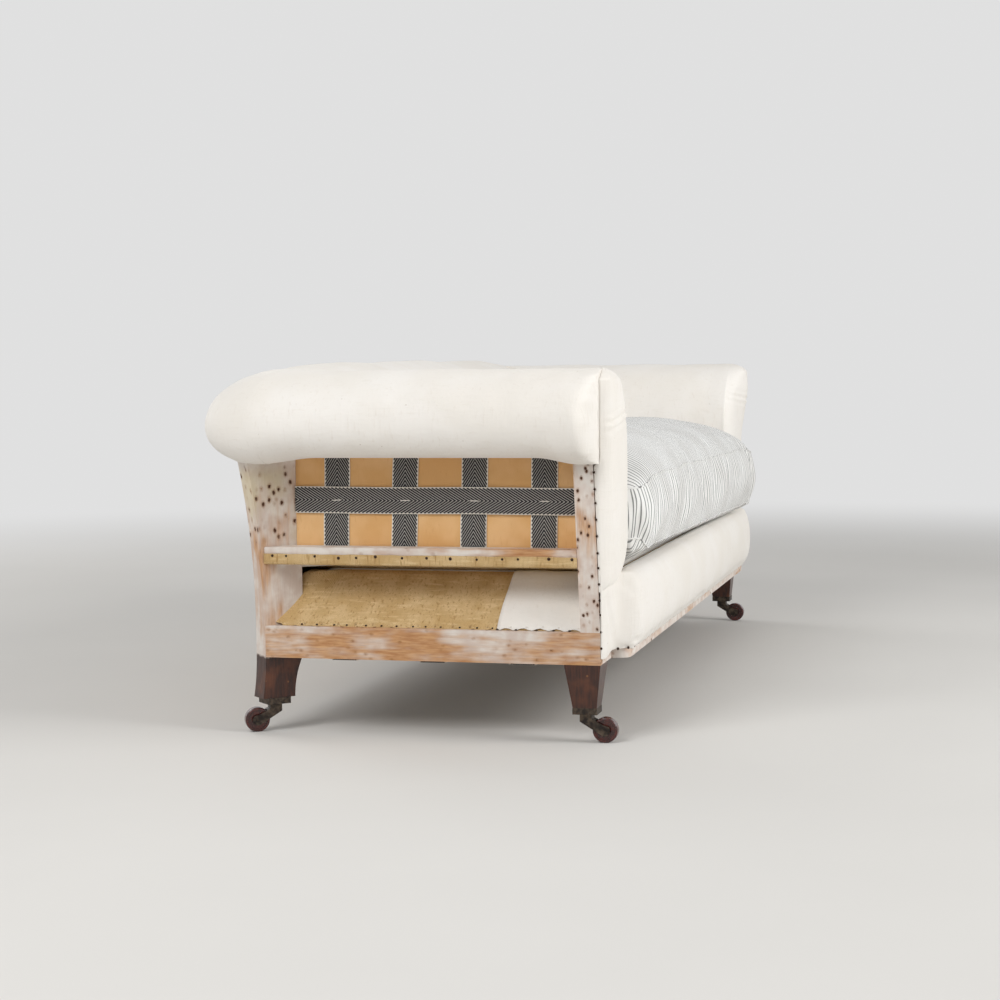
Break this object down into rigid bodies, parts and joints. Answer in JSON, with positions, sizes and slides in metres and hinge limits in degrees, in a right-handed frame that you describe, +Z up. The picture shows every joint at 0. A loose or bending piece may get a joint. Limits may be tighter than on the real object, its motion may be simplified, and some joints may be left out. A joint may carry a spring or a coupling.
{
  "type": "chesterfield sofa",
  "caption": "Low chesterfield sofa with level rolled arms and back in calico, open frame ends with webbing, a loose striped feather seat cushion, tapered legs and swivel castors.",
  "frame": {"origin": "on the floor under the middle of the sofa", "axes": "+X along the sofa, -Y to the front of the seat, +Z up"},
  "size_m": [2.132, 0.882, 0.7325],
  "materials": {
    "bare_wood": "bare beech, whitewashed and tack marked",
    "polished_wood": "dark polish, worn at the edges",
    "calico": "plain unbleached calico",
    "tan_cloth": "tan canvas",
    "hessian": "open woven hessian",
    "webbing": "black and white herringbone webbing",
    "spring_steel": "oiled wire",
    "tack_iron": "blued tacks",
    "ticking": "woven ticking with thin dark stripes",
    "castor_iron": "dark worn iron",
    "wheel_brown": "glossy dark brown"
  },
  "bodies": {
    "sofa": {"end_rail_left": "bare_wood", "end_rail_right": "bare_wood", "arm_rail_left": "bare_wood", "arm_rail_right": "bare_wood", "back_rail": "bare_wood", "back_stuffing_rail": "bare_wood", "front_rail": "bare_wood", "lip_board": "bare_wood", "seat_cross_rail": "bare_wood", "back_studs": "bare_wood", "corner_blocks": "bare_wood", "rear_post_left": "bare_wood", "rear_post_right": "bare_wood", "front_post_left": "bare_wood", "front_post_right": "bare_wood", "arm_top_rail_left": "bare_wood", "arm_top_rail_right": "bare_wood", "back_top_rail": "bare_wood", "facing_board_left": "bare_wood", "facing_board_right": "bare_wood", "front_leg_left": "polished_wood", "front_leg_right": "polished_wood", "arm_pad_left": "calico", "arm_pad_right": "calico", "back_pad": "calico", "arm_facing_left": "calico", "arm_facing_right": "calico", "front_border": "calico", "calico_return_left": "calico", "calico_return_right": "calico", "seat_stuffing": "calico", "arm_cloth_left": "tan_cloth", "arm_cloth_right": "tan_cloth", "back_cloth": "tan_cloth", "spring_hessian": "hessian", "rail_hessian_left": "hessian", "rail_hessian_right": "hessian", "rail_hessian_back": "hessian", "arm_webbing_left": "webbing", "arm_webbing_right": "webbing", "back_webbing": "webbing", "seat_webbing": "webbing", "seat_springs": "spring_steel", "upholstery_tacks": "tack_iron", "castor_plates": "castor_iron"},
    "cushion": {"seat_cushion": "ticking"},
    "horn_front_left": {"castor_horn_front_left": "castor_iron", "castor_axle_front_left": "castor_iron"},
    "wheel_front_left": {"castor_wheel_front_left": "wheel_brown"},
    "horn_rear_left": {"castor_horn_rear_left": "castor_iron", "castor_axle_rear_left": "castor_iron"},
    "wheel_rear_left": {"castor_wheel_rear_left": "wheel_brown"},
    "horn_front_right": {"castor_horn_front_right": "castor_iron", "castor_axle_front_right": "castor_iron"},
    "wheel_front_right": {"castor_wheel_front_right": "wheel_brown"},
    "horn_rear_right": {"castor_horn_rear_right": "castor_iron", "castor_axle_rear_right": "castor_iron"},
    "wheel_rear_right": {"castor_wheel_rear_right": "wheel_brown"}
  },
  "joints": [
    {"name": "cushion_lift", "type": "slide", "parent": "sofa", "child": "cushion", "axis": [0, 0, 1], "range_m": [0, 0.45]},
    {"name": "swivel_front_left", "type": "hinge", "parent": "sofa", "child": "horn_front_left", "pos_m": [-0.952, -0.333, 0.05], "axis": [0, 0, 1], "continuous": true},
    {"name": "roll_front_left", "type": "hinge", "parent": "horn_front_left", "child": "wheel_front_left", "pos_m": [-0.952, -0.37, 0.025], "axis": [1, 0, 0], "continuous": true},
    {"name": "swivel_rear_left", "type": "hinge", "parent": "sofa", "child": "horn_rear_left", "pos_m": [-0.94394, 0.31894, 0.05], "axis": [0, 0, 1], "continuous": true},
    {"name": "roll_rear_left", "type": "hinge", "parent": "horn_rear_left", "child": "wheel_rear_left", "pos_m": [-0.96244, 0.35098, 0.025], "axis": [-0.866, -0.5, 0], "continuous": true},
    {"name": "swivel_front_right", "type": "hinge", "parent": "sofa", "child": "horn_front_right", "pos_m": [0.952, -0.333, 0.05], "axis": [0, 0, 1], "continuous": true},
    {"name": "roll_front_right", "type": "hinge", "parent": "horn_front_right", "child": "wheel_front_right", "pos_m": [0.952, -0.37, 0.025], "axis": [1, 0, 0], "continuous": true},
    {"name": "swivel_rear_right", "type": "hinge", "parent": "sofa", "child": "horn_rear_right", "pos_m": [0.94394, 0.31894, 0.05], "axis": [0, 0, 1], "continuous": true},
    {"name": "roll_rear_right", "type": "hinge", "parent": "horn_rear_right", "child": "wheel_rear_right", "pos_m": [0.96244, 0.35098, 0.025], "axis": [-0.866, 0.5, 0], "continuous": true}
  ]
}
